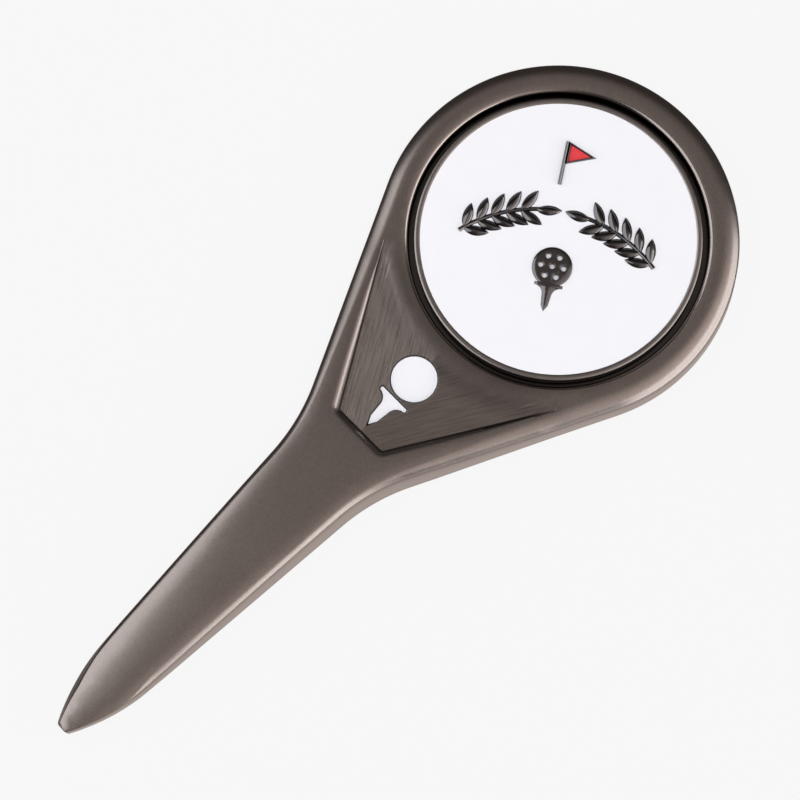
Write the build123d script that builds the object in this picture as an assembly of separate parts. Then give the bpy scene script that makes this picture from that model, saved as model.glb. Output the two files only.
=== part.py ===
from build123d import *
import os
from math import cos, radians, sin, tan

# Divot repair tool with a magnetic ball marker, in millimetres.
# The origin is on the flat back, on the axis of the marker pocket.
# +X runs down the prong to its point and +Z comes out of the front face.

# Plan outline of the die-cast body
HEAD_RADIUS = 15.85
SHOULDER_ANGLE = 25.7
NECK_BLEND_RADIUS = 18.0
PRONG_GAUGE_X = 30.6
PRONG_HALF_WIDTH = 4.29
PRONG_TAPER = 3.88
POINT_ANGLE = 27.6
POINT_BLEND_RADIUS = 18.4
POINT_X = 60.15
POINT_HALF_WIDTH = 0.6
PRONG_BLANK_X = 66.0

# Heights of the body
HEAD_THICKNESS = 4.2
NECK_RISE = 0.65
NECK_RISE_START_X = 10.0
NECK_CREST_X = 26.5
POINT_DROP = 3.2
POINT_DROP_POWER = 1.8
PRONG_CROWN = 0.027
PRONG_CROWN_START_X = 20.0
PRONG_CROWN_LENGTH = 12.0
TOP_EDGE_RADIUS = 1.3
BACK_EDGE_RADIUS = 0.4

# Flat recess let into the raised neck
RECESS_START_X = 10.5
RECESS_END_X = 24.0
RECESS_END_HALF_WIDTH = 2.6
RECESS_SIDE_ANGLE = 31.0
RECESS_SIDE_LENGTH = 16.5
RECESS_TILT = 0.7
RECESS_CORNER_RADIUS = 0.5

# Marker pocket and the magnet in its floor
POCKET_RADIUS = 13.0
POCKET_DEPTH = 1.8
POCKET_EDGE_RADIUS = 0.35
MAGNET_RADIUS = 5.0
MAGNET_THICKNESS = 1.5
MAGNET_PROUD = 0.3
MAGNET_CHAMFER = 0.1
GLUE_THICKNESS = 0.1

# White inlay in the neck: a ball, and a tee that points down the prong
INLAY_BALL_X = 17.5
INLAY_BALL_RADIUS = 2.0
INLAY_GAP = 0.35
INLAY_TEE_LENGTH = 3.2
INLAY_CUP_HALF_WIDTH = 1.5
INLAY_STEM_HALF_WIDTH = 0.5
INLAY_DEPTH = 0.6
INLAY_THICKNESS = 0.45

# Side view of a tee, as shares of its length: foot of the rim, top of the stem, start of the point
TEE_RIM_SHARE = 0.1
TEE_WAIST_SHARE = 0.42
TEE_SHOULDER_SHARE = 0.78
TEE_STEM_TAPER = 0.75

# Ball marker: a struck disc with a raised rim and raised relief
MARKER_RADIUS = 12.5
MARKER_THICKNESS = 1.55
MARKER_RIM_WIDTH = 0.5
MARKER_EDGE_RADIUS = 0.2
MARKER_TURN = 123.6
CELL_DEPTH = 0.4
ENAMEL_THICKNESS = 0.34
RELIEF_HEIGHT = 0.48

# Relief: laurel arch, flag, and ball on a tee, in the marker's own plane
ARCH_RADIUS = 12.6
ARCH_TOP_Y = 2.4
ARCH_STEM_WIDTH = 0.4
ARCH_STEM_START_ANGLE = 5.0
ARCH_LAST_LEAF_ANGLE = 11.0
ARCH_FIRST_LEAF_ANGLE = 41.0
ARCH_END_ANGLE = 43.0
LAST_LEAF_TURN = 4.0
LEAF_PAIRS = 5
LEAF_LENGTH = 2.3
LEAF_WIDTH = 0.8
LEAF_SPREAD = 42.0
FLAG_POLE_X = -0.85
FLAG_POLE_BOTTOM_Y = 4.7
FLAG_POLE_TOP_Y = 8.6
FLAG_POLE_WIDTH = 0.34
FLAG_LENGTH = 2.5
FLAG_HEIGHT = 2.0
FLAG_OUTLINE = 0.17
BALL_Y = -2.6
BALL_RADIUS = 1.75
DIMPLE_RADIUS = 0.22
DIMPLE_RING_RADIUS = 1.0
DIMPLE_RING_COUNT = 6
TEE_TOP_Y = -4.1
TEE_LENGTH = 2.5
TEE_CUP_HALF_WIDTH = 1.25
TEE_STEM_HALF_WIDTH = 0.42

# How far cutting tools run past the metal they cut
CUT_CLEARANCE = 1.0

POCKET_FLOOR_Z = HEAD_THICKNESS - POCKET_DEPTH
MAGNET_TOP_Z = POCKET_FLOOR_Z + MAGNET_PROUD
MARKER_TOP_Z = MAGNET_TOP_Z + MARKER_THICKNESS
CELL_FLOOR_Z = MARKER_TOP_Z - CELL_DEPTH
CELL_RADIUS = MARKER_RADIUS - MARKER_RIM_WIDTH
BORE_RADIUS = MAGNET_RADIUS + GLUE_THICKNESS
BORE_FLOOR_Z = MAGNET_TOP_Z - MAGNET_THICKNESS - GLUE_THICKNESS


def crossing(first, first_angle, second, second_angle):
    """Point where two lines meet, each falling towards +X at its angle in degrees."""
    fall_a = tan(radians(first_angle))
    fall_b = tan(radians(second_angle))
    x = (second[1] - first[1] + second[0] * fall_b - first[0] * fall_a) / (fall_b - fall_a)
    return (x, first[1] - (x - first[0]) * fall_a)


def eased(fraction):
    """Smooth step from 0 to 1."""
    t = min(max(fraction, 0), 1)
    return t * t * (3 - 2 * t)


# Points on the +Y side of the outline, from the head to the point
SHOULDER = (
    HEAD_RADIUS * sin(radians(SHOULDER_ANGLE)),
    HEAD_RADIUS * cos(radians(SHOULDER_ANGLE)),
)
PRONG_GAUGE = (PRONG_GAUGE_X, PRONG_HALF_WIDTH)
POINT_CORNER = (POINT_X, POINT_HALF_WIDTH)
NECK = crossing(SHOULDER, SHOULDER_ANGLE, PRONG_GAUGE, PRONG_TAPER)
POINT_START = crossing(PRONG_GAUGE, PRONG_TAPER, POINT_CORNER, POINT_ANGLE)
BLANK_CORNER = (
    PRONG_BLANK_X,
    PRONG_HALF_WIDTH - (PRONG_BLANK_X - PRONG_GAUGE_X) * tan(radians(PRONG_TAPER)),
)


def plan_face(corners, radii):
    """Round head and tapered shank, symmetric about X, from the corners of its +Y side."""
    upper = FilletPolyline(SHOULDER, *corners, radius=radii)
    lower = mirror(upper, Plane.XZ)
    head = ThreePointArc((SHOULDER[0], -SHOULDER[1]), (-HEAD_RADIUS, 0), SHOULDER)
    tip = corners[-1]
    end = Line(tip, (tip[0], -tip[1]))
    return make_face([*upper.edges(), *lower.edges(), *head.edges(), *end.edges()])


def front_height(x, y):
    """Height of the front surface: flat head, raised neck, prong crowned and thinning out."""
    rise = NECK_RISE * eased((x - NECK_RISE_START_X) / (NECK_CREST_X - NECK_RISE_START_X))
    run = max((x - NECK_CREST_X) / (POINT_X - NECK_CREST_X), 0)
    drop = POINT_DROP * run**POINT_DROP_POWER
    crown = PRONG_CROWN * eased((x - PRONG_CROWN_START_X) / PRONG_CROWN_LENGTH)
    return HEAD_THICKNESS + rise - drop - crown * y * y


def front_blank():
    """Everything below the front surface, over an area larger than the tool."""
    half_width = HEAD_RADIUS + CUT_CLEARANCE
    x_steps = 60
    y_steps = 12
    pitch = (PRONG_BLANK_X + half_width) / x_steps
    rows = []
    for i in range(x_steps + 1):
        x = -half_width + i * pitch
        ys = [half_width * (2 * j / y_steps - 1) for j in range(y_steps + 1)]
        rows.append([Vector(x, y, front_height(x, y)) for y in ys])
    surface = Face.make_surface_from_array_of_points(rows, tol=1e-3, min_deg=3, max_deg=5)
    return Solid.extrude(surface, Vector(0, 0, -3 * HEAD_THICKNESS))


def is_front_rim(edge):
    """True for the edges round the front surface, apart from the blank's far end."""
    box = edge.bounding_box()
    return box.min.Z > BACK_EDGE_RADIUS and box.min.X < POINT_X


def body_blank():
    """The casting without its pocket and recesses, all outer edges rounded."""
    shank = plan_face([NECK, BLANK_CORNER], NECK_BLEND_RADIUS)
    blank = extrude(shank, 2 * HEAD_THICKNESS) & front_blank()
    blank = fillet(blank.edges().filter_by(is_front_rim), TOP_EDGE_RADIUS)
    outline = plan_face([NECK, POINT_START, POINT_CORNER], [NECK_BLEND_RADIUS, POINT_BLEND_RADIUS])
    blank = blank & extrude(outline, 2 * HEAD_THICKNESS)
    back_edges = blank.edges().filter_by(lambda edge: edge.bounding_box().max.Z < 0.01)
    return fillet(back_edges, BACK_EDGE_RADIUS)


def disc(radius, bottom_z, top_z):
    """Upright cylinder on the pocket axis."""
    height = top_z - bottom_z
    return Pos(0, 0, bottom_z + height / 2) * Cylinder(radius, height)


def is_pocket_mouth(edge):
    """True for the circle where the pocket wall meets the front face."""
    size = edge.bounding_box().size
    is_pocket_circle = abs(size.X - 2 * POCKET_RADIUS) < POCKET_EDGE_RADIUS
    return is_pocket_circle and edge.center().Z > POCKET_FLOOR_Z + POCKET_DEPTH / 2


def with_pocket(blank):
    """Sink the marker pocket, round its mouth and bore the pocket floor for the magnet."""
    above = HEAD_THICKNESS + CUT_CLEARANCE
    body = blank - disc(POCKET_RADIUS, POCKET_FLOOR_Z, above)
    body = fillet(body.edges().filter_by(is_pocket_mouth), POCKET_EDGE_RADIUS)
    return body - disc(BORE_RADIUS, BORE_FLOOR_Z, above)


def recess_cutter():
    """Wedge-shaped space above the flat recess of the neck."""
    side = radians(RECESS_SIDE_ANGLE)
    end_x = RECESS_END_X - RECESS_START_X
    back_x = end_x - RECESS_SIDE_LENGTH * cos(side)
    back_y = RECESS_END_HALF_WIDTH + RECESS_SIDE_LENGTH * sin(side)
    corners = [
        (back_x, back_y),
        (end_x, RECESS_END_HALF_WIDTH),
        (end_x, -RECESS_END_HALF_WIDTH),
        (back_x, -back_y),
    ]
    sides = FilletPolyline(*corners, radius=RECESS_CORNER_RADIUS)
    closing = Line(corners[-1], corners[0])
    plan = make_face([*sides.edges(), *closing.edges()])
    floor = Plane(origin=(RECESS_START_X, 0, HEAD_THICKNESS)).rotated((0, RECESS_TILT, 0))
    return floor * extrude(plan, HEAD_THICKNESS)


def tee_face(length, cup_half_width, stem_half_width):
    """Golf tee seen from the side, cup edge on the origin and point towards +X."""
    rim = TEE_RIM_SHARE * length
    waist = TEE_WAIST_SHARE * length
    shoulder = (TEE_SHOULDER_SHARE * length, TEE_STEM_TAPER * stem_half_width)
    bend = (
        waist - (waist - rim) * cos(radians(45)),
        cup_half_width - (cup_half_width - stem_half_width) * sin(radians(45)),
    )
    half = [
        Line((0, 0), (0, cup_half_width)),
        Line((0, cup_half_width), (rim, cup_half_width)),
        ThreePointArc((rim, cup_half_width), bend, (waist, stem_half_width)),
        Line((waist, stem_half_width), shoulder),
        Line(shoulder, (length, 0)),
        Line((length, 0), (0, 0)),
    ]
    upper = make_face(half)
    return upper + mirror(upper, Plane.XZ)


def inlay_solid(bottom_z, top_z):
    """Ball and tee where the neck inlay lies, as two separate blocks."""
    tee = tee_face(INLAY_TEE_LENGTH, INLAY_CUP_HALF_WIDTH, INLAY_STEM_HALF_WIDTH)
    tee_start_x = INLAY_BALL_RADIUS + INLAY_GAP
    plan = Circle(INLAY_BALL_RADIUS) + Pos(tee_start_x, 0) * tee
    return Pos(INLAY_BALL_X, 0, bottom_z) * extrude(plan, top_z - bottom_z)


def tool_body():
    """One casting: head, pocket, neck recess and prong."""
    inlay_floor_z = HEAD_THICKNESS - INLAY_DEPTH
    body = with_pocket(body_blank()) - recess_cutter()
    return body - inlay_solid(inlay_floor_z, HEAD_THICKNESS + CUT_CLEARANCE)


def body_inlay_enamel():
    """White enamel in the ball and tee cells of the neck."""
    floor_z = HEAD_THICKNESS - INLAY_DEPTH
    return inlay_solid(floor_z, floor_z + INLAY_THICKNESS)


def pocket_magnet():
    """Magnet disc with eased edges, standing slightly proud of the pocket floor."""
    magnet = disc(MAGNET_RADIUS, MAGNET_TOP_Z - MAGNET_THICKNESS, MAGNET_TOP_Z)
    return chamfer(magnet.edges(), MAGNET_CHAMFER)


def magnet_adhesive():
    """Thin cup of glue between the magnet and its bore."""
    glue = disc(BORE_RADIUS, BORE_FLOOR_Z, POCKET_FLOOR_Z)
    return glue - pocket_magnet()


def leaf_face():
    """Pointed leaf from the origin towards +X."""
    middle = LEAF_LENGTH / 2
    tip = (LEAF_LENGTH, 0)
    sides = [
        ThreePointArc((0, 0), (middle, LEAF_WIDTH / 2), tip),
        ThreePointArc(tip, (middle, -LEAF_WIDTH / 2), (0, 0)),
    ]
    return make_face(sides)


def spray_face():
    """Right-hand laurel branch: a bowed stem with pairs of leaves and one leaf at its end."""
    centre_y = ARCH_TOP_Y - ARCH_RADIUS
    inner = ARCH_RADIUS - ARCH_STEM_WIDTH / 2
    ring = Circle(ARCH_RADIUS + ARCH_STEM_WIDTH / 2) - Circle(inner)
    reach = 2 * ARCH_RADIUS
    start = radians(ARCH_STEM_START_ANGLE)
    end = radians(ARCH_END_ANGLE)
    sector = make_face(
        Polyline(
            (0, 0),
            (reach * sin(start), reach * cos(start)),
            (reach * sin(end), reach * cos(end)),
            (0, 0),
        )
    )
    spray = ring & sector
    leaf = leaf_face()
    pitch = (ARCH_FIRST_LEAF_ANGLE - ARCH_LAST_LEAF_ANGLE) / LEAF_PAIRS
    for pair in range(LEAF_PAIRS):
        root = Rot(0, 0, pair * pitch - ARCH_FIRST_LEAF_ANGLE) * Pos(0, ARCH_RADIUS)
        for side in (-LEAF_SPREAD, LEAF_SPREAD):
            spray += root * Rot(0, 0, 180 + side) * leaf
    last_root = Rot(0, 0, -ARCH_LAST_LEAF_ANGLE) * Pos(0, ARCH_RADIUS)
    spray += last_root * Rot(0, 0, 180 + LAST_LEAF_TURN) * leaf
    return Pos(0, centre_y) * spray


def flag_face(inset):
    """Pennant beside its pole, drawn in from its outer edge by the inset."""
    base_x = FLAG_POLE_X + FLAG_POLE_WIDTH / 2
    slope = FLAG_HEIGHT / 2 / FLAG_LENGTH
    length = FLAG_LENGTH - inset * (1 + (1 + slope**2) ** 0.5 / slope)
    half_height = length * slope
    middle_y = FLAG_POLE_TOP_Y - FLAG_HEIGHT / 2
    x = base_x + inset
    points = [(x, middle_y + half_height), (x + length, middle_y), (x, middle_y - half_height)]
    return make_face(Polyline(*points, points[0]))


def ball_face():
    """Golf ball with a few round dimples let through it."""
    ball = Circle(BALL_RADIUS) - Circle(DIMPLE_RADIUS)
    for i in range(DIMPLE_RING_COUNT):
        angle = 360 * i / DIMPLE_RING_COUNT
        ball -= Rot(0, 0, angle) * Pos(DIMPLE_RING_RADIUS, 0) * Circle(DIMPLE_RADIUS)
    return Pos(0, BALL_Y) * ball


def relief_face():
    """Plan of everything raised inside the marker's rim."""
    spray = spray_face()
    pole_height = FLAG_POLE_TOP_Y - FLAG_POLE_BOTTOM_Y
    pole_middle = (FLAG_POLE_TOP_Y + FLAG_POLE_BOTTOM_Y) / 2
    pole = Pos(FLAG_POLE_X, pole_middle) * Rectangle(FLAG_POLE_WIDTH, pole_height)
    flag = flag_face(0) - flag_face(FLAG_OUTLINE)
    tee = tee_face(TEE_LENGTH, TEE_CUP_HALF_WIDTH, TEE_STEM_HALF_WIDTH)
    tee = Pos(0, TEE_TOP_Y) * Rot(0, 0, -90) * tee
    return spray + mirror(spray, Plane.YZ) + pole + flag + ball_face() + tee


def on_marker(shape, bottom_z):
    """Place something drawn in the marker's own plane at a height in the tool."""
    return Pos(0, 0, bottom_z) * Rot(0, 0, MARKER_TURN) * shape


def marker_base():
    """Struck disc: flat underside, raised rim and raised relief."""
    blank = disc(MARKER_RADIUS, MAGNET_TOP_Z, MARKER_TOP_Z)
    blank -= disc(CELL_RADIUS, CELL_FLOOR_Z, MARKER_TOP_Z + CUT_CLEARANCE)
    outer_edges = blank.edges().group_by(Axis.Z)
    blank = fillet(outer_edges[0] + outer_edges[-1], MARKER_EDGE_RADIUS)
    return blank + on_marker(extrude(relief_face(), RELIEF_HEIGHT), CELL_FLOOR_Z)


def marker_enamel_red():
    """Red enamel inside the outline of the flag."""
    return on_marker(extrude(flag_face(FLAG_OUTLINE), ENAMEL_THICKNESS), CELL_FLOOR_Z)


def marker_enamel_white():
    """White enamel that fills the marker up to its rim, round the relief."""
    top_z = CELL_FLOOR_Z + ENAMEL_THICKNESS
    field = disc(CELL_RADIUS, CELL_FLOOR_Z, top_z)
    relief = on_marker(extrude(relief_face(), RELIEF_HEIGHT), CELL_FLOOR_Z)
    return field - relief - marker_enamel_red()


def main():
    os.makedirs("parts", exist_ok=True)
    pieces = [
        tool_body,
        body_inlay_enamel,
        pocket_magnet,
        magnet_adhesive,
        marker_base,
        marker_enamel_white,
        marker_enamel_red,
    ]
    for piece in pieces:
        export_step(piece(), f"parts/{piece.__name__}.step")


main()
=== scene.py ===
import math

import bmesh
import bpy
import numpy as np
from mathutils import Matrix, Vector
from mathutils.geometry import delaunay_2d_cdt


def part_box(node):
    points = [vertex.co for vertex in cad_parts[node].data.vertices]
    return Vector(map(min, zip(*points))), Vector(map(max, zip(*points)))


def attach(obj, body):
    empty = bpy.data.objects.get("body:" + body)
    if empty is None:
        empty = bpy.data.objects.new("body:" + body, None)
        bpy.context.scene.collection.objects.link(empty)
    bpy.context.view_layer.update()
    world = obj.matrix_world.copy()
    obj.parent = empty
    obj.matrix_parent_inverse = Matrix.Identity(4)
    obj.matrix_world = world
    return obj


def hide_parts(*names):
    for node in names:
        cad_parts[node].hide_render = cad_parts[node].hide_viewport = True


# Divot repair tool with a magnetic ball marker: the looks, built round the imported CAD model.
# Shapes are worked out in millimetres in the tool's own frame (origin on the flat back under the
# marker, +X down the prong, +Z out of the front) and turned into metres when a mesh is made.

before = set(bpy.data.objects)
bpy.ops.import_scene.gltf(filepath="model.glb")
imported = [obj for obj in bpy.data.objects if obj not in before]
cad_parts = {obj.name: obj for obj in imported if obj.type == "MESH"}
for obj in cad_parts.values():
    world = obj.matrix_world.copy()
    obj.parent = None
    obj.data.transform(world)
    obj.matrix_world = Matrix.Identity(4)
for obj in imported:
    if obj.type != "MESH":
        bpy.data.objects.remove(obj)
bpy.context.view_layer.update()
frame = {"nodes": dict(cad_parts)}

MM = 0.001

# Triangulation: which triangles are wanted, and how near two points count as one
INSIDE_OUTER_RING = 1
SAME_POINT = 1e-6
# in metres, when a mesh is cleaned
SAME_VERTEX = 1e-7
NO_LENGTH = 1e-8
LEAST_ARC_STEPS = 4
# cosine of half a corner's turn, past which its mitre grows no longer
LEAST_MITRE_COSINE = 0.3

# Plan outline of the casting
HEAD_RADIUS = 15.85
SHOULDER_ANGLE = 25.7
NECK_BLEND_RADIUS = 18.0
PRONG_GAUGE = (30.6, 4.29)
PRONG_TAPER = 3.88
POINT_ANGLE = 27.6
POINT_BLEND_RADIUS = 18.4
POINT_CORNER = (60.15, 0.6)
POINT_CORNER_RADIUS = 0.4
OUTLINE_PITCH = 0.32
HEAD_ARC_STEPS = 120

# Front surface of the casting
HEAD_THICKNESS = 4.2
NECK_RISE = 0.646
NECK_RISE_START_X = 10.0
NECK_CREST_X = 26.5
POINT_DROP = 3.2
POINT_DROP_POWER = 1.8
# crown of the prong: x, fall per square of the distance from the middle
CROWN = [(25, 0), (34, 0.01), (42, 0.024), (50, 0.04), (58, 0.06)]
# rounded upper edge: x, reach inwards, reach down the side wall
ROLL = [
    (12, 1.5, 1.1),
    (20, 0.9, 0.85),
    (26, 0.6, 0.8),
    (34, 0.5, 0.65),
    (42, 0.5, 0.6),
    (50, 0.5, 0.6),
    (53.5, 0.4, 0.9),
    (56.7, 0.55, 1.2),
    (60, 0.26, 0.8),
]
ROLL_STEPS = 12
# largest share of the local half width that the rounding may take, above and at the back
ROLL_LARGEST_SHARE = 0.7
BACK_EDGE_LARGEST_SHARE = 0.3
# draft of the side wall: x, how far its foot stands out of the outline, degrees from upright
DRAFT = [(12, 0, 1.8), (22, 0.11, 4.2), (50, 0.11, 4.5), (56, 0.05, 3.0), (60, 0, 2.0)]
# where the rounding turns into a flat ground bevel on the -Y side of the point
BEVEL_START_X = 51.0
BEVEL_FULL_X = 55.0
BEVEL_FLAT_SHARE = 0.8
BEVEL_TURN_WIDTH = 0.8
BEVEL_CORNER_STEPS = 4
# the +Y side keeps its rounding, drawn in to this share
UNGROUND_SHARE = 0.35
# easing of the front towards its edge: x, depth at the edge, reach inwards
EDGE_FALL = [
    (13, 0.08, 3.0),
    (20, 0.38, 2.3),
    (27, 0.32, 2.1),
    (33, 0.24, 1.9),
    (44, 0.22, 1.8),
    (51, 0.18, 1.6),
    (56, 0.1, 1.3),
    (60, 0, 1),
]
BACK_EDGE_RADIUS = 0.4
BACK_EDGE_STEPS = 4
# width of the first strip of a flat face next to its rounded edge
FLAT_MARGIN = 0.1
GRID_PITCH = 0.7
GRID_CLEARANCE = 0.42

# Recess in the neck
RECESS_END = (24.0, 2.6)
RECESS_SIDE_ANGLE = 31.0
RECESS_SIDE_LENGTH = 15.4
RECESS_CORNER_RADIUS = 0.5
RECESS_DEPTH = 0.27
RECESS_FADE_X = (9.0, 4.0)
RECESS_FADE_RADIUS = (13.9, 1.7)
RECESS_PITCH = 0.3
# how far towards the head the ends of the recess are taken to run on
RECESS_OVERRUN = 3
# wall of the recess: distance out from its foot, share of its height reached there. The first two
# lines lie on the floor, and the others draw together where the wall is low.
RECESS_WALL = [
    (-0.15, 0),
    (-0.1, 0),
    (0, 0),
    (0.03, 0.3),
    (0.12, 0.52),
    (0.26, 0.76),
    (0.42, 0.91),
    (0.6, 0.98),
    (0.8, 1),
]
RECESS_WALL_FULL_STEP = 0.6
RECESS_WALL_LEAST_SPREAD = 0.12
RECESS_WALL_MARGIN = 0.15
RECESS_WALL_LEAST_ROOM = 0.1

# White inlay in the recess
INLAY_BALL_X = 17.5
INLAY_BALL_RADIUS = 2.0
INLAY_GAP = 0.35
INLAY_TEE_LENGTH = 3.2
INLAY_CUP_HALF_WIDTH = 1.5
INLAY_STEM_HALF_WIDTH = 0.5
INLAY_CORNER_RADIUS = 0.12
INLAY_FILL_DEPTH = 0.18
INLAY_FLOOR_DEPTH = 0.5
INLAY_BALL_STEPS = 72
INLAY_TEE_PITCH = 0.15
# lip of the inlay cell: distance out from its wall, depth below the recess floor
INLAY_LIP = [
    (0, 0.5),
    (0.03, 0.2),
    (0.07, 0.1),
    (0.12, 0.04),
    (0.145, -0.02),
    (0.16, -0.02),
    (0.172, 0),
]
# top of the enamel, drawn up along the cell wall: distance in from the wall, how far it sinks
INLAY_SINK = [(0.05, 0.02), (0.12, 0.03), (0.24, 0.035)]

# Marker pocket
POCKET_RADIUS = 13.0
POCKET_DEPTH = 1.8
POCKET_EDGE_RADIUS = 0.36
POCKET_EDGE_FLATNESS = 0.55
POCKET_EDGE_STEPS = 6
BORE_RADIUS = 5.1
BORE_DEPTH = 3.1
# how far an upright wall leans in at its foot, which keeps its two rings apart
WALL_LEAN = 0.01
CIRCLE_STEPS = 256

# Ball marker
MARKER_RADIUS = 12.5
MARKER_BASE_Z = 2.7
MARKER_RIM_Z = 4.25
MARKER_RIM_WIDTH = 0.5
MARKER_EDGE_RADIUS = 0.2
MARKER_RIM_ROUNDING = 0.13
MARKER_RIM_INNER_FALL = 0.07
MARKER_RIM_STEPS = 10
MARKER_EDGE_STEPS = 4
CELL_FLOOR_Z = 3.85
ENAMEL_Z = 4.19
RELIEF_FOOT_Z = CELL_FLOOR_Z + 0.1
RELIEF_SIDE_Z = 4.21
RELIEF_CREST_Z = 4.46
MARKER_TURN = 123.6
# angle between two faces from which their edge is sharp
SHARP_ANGLE = 38
RELIEF_SHARP_ANGLE = 50

# Relief of the marker, in its own plane
ARCH_RADIUS = 12.6
ARCH_TOP_Y = 2.4
ARCH_STEM_WIDTH = 0.4
ARCH_STEM_END_SHARE = 0.55
ARCH_STEM_SINK = 0.08
ARCH_STEM_POINTS = 24
ARCH_STEM_START_ANGLE = 10.0
ARCH_LAST_LEAF_ANGLE = 11.0
ARCH_FIRST_LEAF_ANGLE = 41.0
ARCH_END_ANGLE = 43.0
LAST_LEAF_TURN = 4.0
LEAF_PAIRS = 5
LEAF_LENGTH = 2.3
LEAF_WIDTH = 0.8
LEAF_SPREAD = 42.0
LEAF_BEND = 0.05
LEAF_POINTS = 15
LEAF_TIP_HALF_WIDTH = 0.004
# powers that set where a leaf is widest and how blunt its ends are
LEAF_SKEW = 0.85
LEAF_BLUNTNESS = 0.8
FLAG_POLE_X = -0.85
FLAG_POLE_Y = (4.7, 8.6)
FLAG_POLE_WIDTH = 0.34
FLAG_POLE_POINTS = 12
FLAG_LENGTH = 2.5
FLAG_HEIGHT = 2.0
FLAG_OUTLINE = 0.17
FLAG_OUTLINE_OVERLAP = 0.015
FLAG_SINK = 0.05
BALL_Y = -2.6
BALL_RADIUS = 1.75
BALL_RISE = 0.28
# square of the share of its rise that the dome still has at its edge
BALL_EDGE_LIFT = 0.02
BALL_STEPS = 64
# rings of the dome: distance in from the ball's edge
BALL_RINGS = [0, 0.02, 0.06, 0.13, 0.24, 0.4]
BALL_WALL_LEAN = 0.02
DIMPLE_RADIUS = 0.22
DIMPLE_RING_RADIUS = 1.0
DIMPLE_RING_COUNT = 6
DIMPLE_STEPS = 20
DIMPLE_DEPTH = 0.1
# lip of a dimple: distance out from its wall, depth below the dome
DIMPLE_LIP = [(0, 0.09), (0.03, 0.03), (0.08, 0.0)]
TEE_TOP_Y = -4.1
TEE_LENGTH = 2.5
TEE_CUP_HALF_WIDTH = 1.25
TEE_STEM_HALF_WIDTH = 0.42
TEE_CORNER_RADIUS = 0.06
TEE_PITCH = 0.1
TEE_LEAST_HALF_WIDTH = 0.01
TEE_LEAST_STEP = 1e-4
# cross-section of a raised line: share of the half width, share of the crest height
RIDGE = [
    (-1, 0),
    (-0.86, 0.28),
    (-0.55, 0.6),
    (-0.2, 0.92),
    (0, 1),
    (0.2, 0.92),
    (0.55, 0.6),
    (0.86, 0.28),
    (1, 0),
]
# how far the sides of a raised line sink where it runs out to a point
RIDGE_POINT_SINK = 0.06

# Side view of a tee, as shares of its length: foot of the rim, top of the stem, start of the point
TEE_RIM_SHARE = 0.1
TEE_WAIST_SHARE = 0.42
TEE_SHOULDER_SHARE = 0.78
TEE_STEM_TAPER = 0.75
TEE_HOLLOW_POINTS = 7
# corners of the hollow and the stem, as a share of the other corners' radius
TEE_SOFT_SHARE = 0.3

# Plating and painted shade, by place: shade is painted into the hollow beside the pocket, down
# inside the pocket, round the inlay cells and along the foot of the recess wall. A pair is where a
# fade starts and how long it is, with the pocket's shade and rubbing pairs measured from its wall.
HOLLOW_RADIUS = (15.0, 2.0)
HOLLOW_X = (9.5, 3.0)
HOLLOW_Z = (HEAD_THICKNESS - 1.0, 0.5)
HOLLOW_SHADE = 0.26
# shade painted down inside the marker pocket
POCKET_PAINTED_SHADE = (0.02, 0.14)
POCKET_RUBBED = (0.3, 0.15)
POCKET_Z = (BACK_EDGE_RADIUS, 0.2)
RUBBED_ROUGHNESS = 0.17
MARKER_RIM_FADE = 0.05
BRUSHED_RADIUS = (13.9, 1.6)
BRUSHED_X = (9.5, 3.0)
BRUSHED_LOWEST_Z = HEAD_THICKNESS - 0.4
# painted shade round the inlay cells and along the foot of the recess wall
DARK_CELL_REACH = 0.13
DARK_CELL_SINK = 0.05
DARK_CELL_START_X = 14.5
ON_FOOT = 0.01
DARK_FOOT_X = (10.5, 2.5)
# the painted shade line at the foot of the recess wall is thin beyond this y
DARK_FOOT_WIDTH = 0.11
DARK_FOOT_THIN_WIDTH = 0.035
DARK_FOOT_THIN_Y = -2.5

# Camera, floor and lights
CAMERA_TARGET = (19.48, 0.18, 2.0)
CAMERA_DISTANCE = 260.8
CAMERA_AZIMUTH = 59.0
CAMERA_ELEVATION = 80.56
CAMERA_RIGHT_AZIMUTH = 135.26
CAMERA_LENS = 135.2
CAMERA_SENSOR = 36
FLOOR_SIZE = 3.0
FLOOR_GAP = 0.0002
SOFTBOX_DISTANCE = 0.6
# name, azimuth, elevation, size in metres, radiance, tint, whether metal mirrors it
SOFTBOXES = [
    ("key_softbox", 112, 0, (0.96, 0.7), 2.15, (1.0, 0.99, 0.98), True),
    ("fill_softbox", -40, 32, (0.9, 0.7), 1.5, (1.0, 1.0, 1.0), True),
    ("top_softbox", 0, 90, (0.8, 0.8), 1.08, (0.85, 0.935, 1.0), False),
]

# Studio round the tool: radiance below, at the horizon and above, and a glow towards the key. A
# range runs over a direction's height (-1 straight down, 1 straight up) or nearness to an azimuth.
WORLD_TINT = (1, 0.875, 0.815, 1)
WORLD_BELOW = 0.8
WORLD_HORIZON = 0.065
WORLD_ABOVE = 0.206
WORLD_GLOW = 0.9
WORLD_GLOW_AZIMUTH = 115.0
WORLD_GLOW_RANGE = (-0.06, 0.75)
WORLD_WINDOW_AZIMUTH = 96.0
WORLD_WINDOW_RANGE = (0.4, 0.72)
WORLD_LOW_GLOW = 0.6
WORLD_LOW_GLOW_AZIMUTH = 85.0
WORLD_BELOW_RANGE = (-0.98, -0.7)
WORLD_ABOVE_RANGE = (0.4, 0.95)
WORLD_GLOW_HEIGHTS = (0.1, 0.6)
WORLD_LOW_GLOW_RANGE = (0.4, 0.7)
WORLD_LOW_GLOW_HEIGHTS = (-0.05, -0.3)


# ---- plan geometry


def eased(fraction):
    """Smooth step from 0 to 1."""
    t = np.clip(fraction, 0, 1)
    return t * t * (3 - 2 * t)


def faded(value, start, width):
    """Smooth step from 0 to 1 as the value passes start."""
    return eased((value - start) / width)


def unit(vector):
    """A vector at length 1."""
    return vector / np.linalg.norm(vector)


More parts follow.
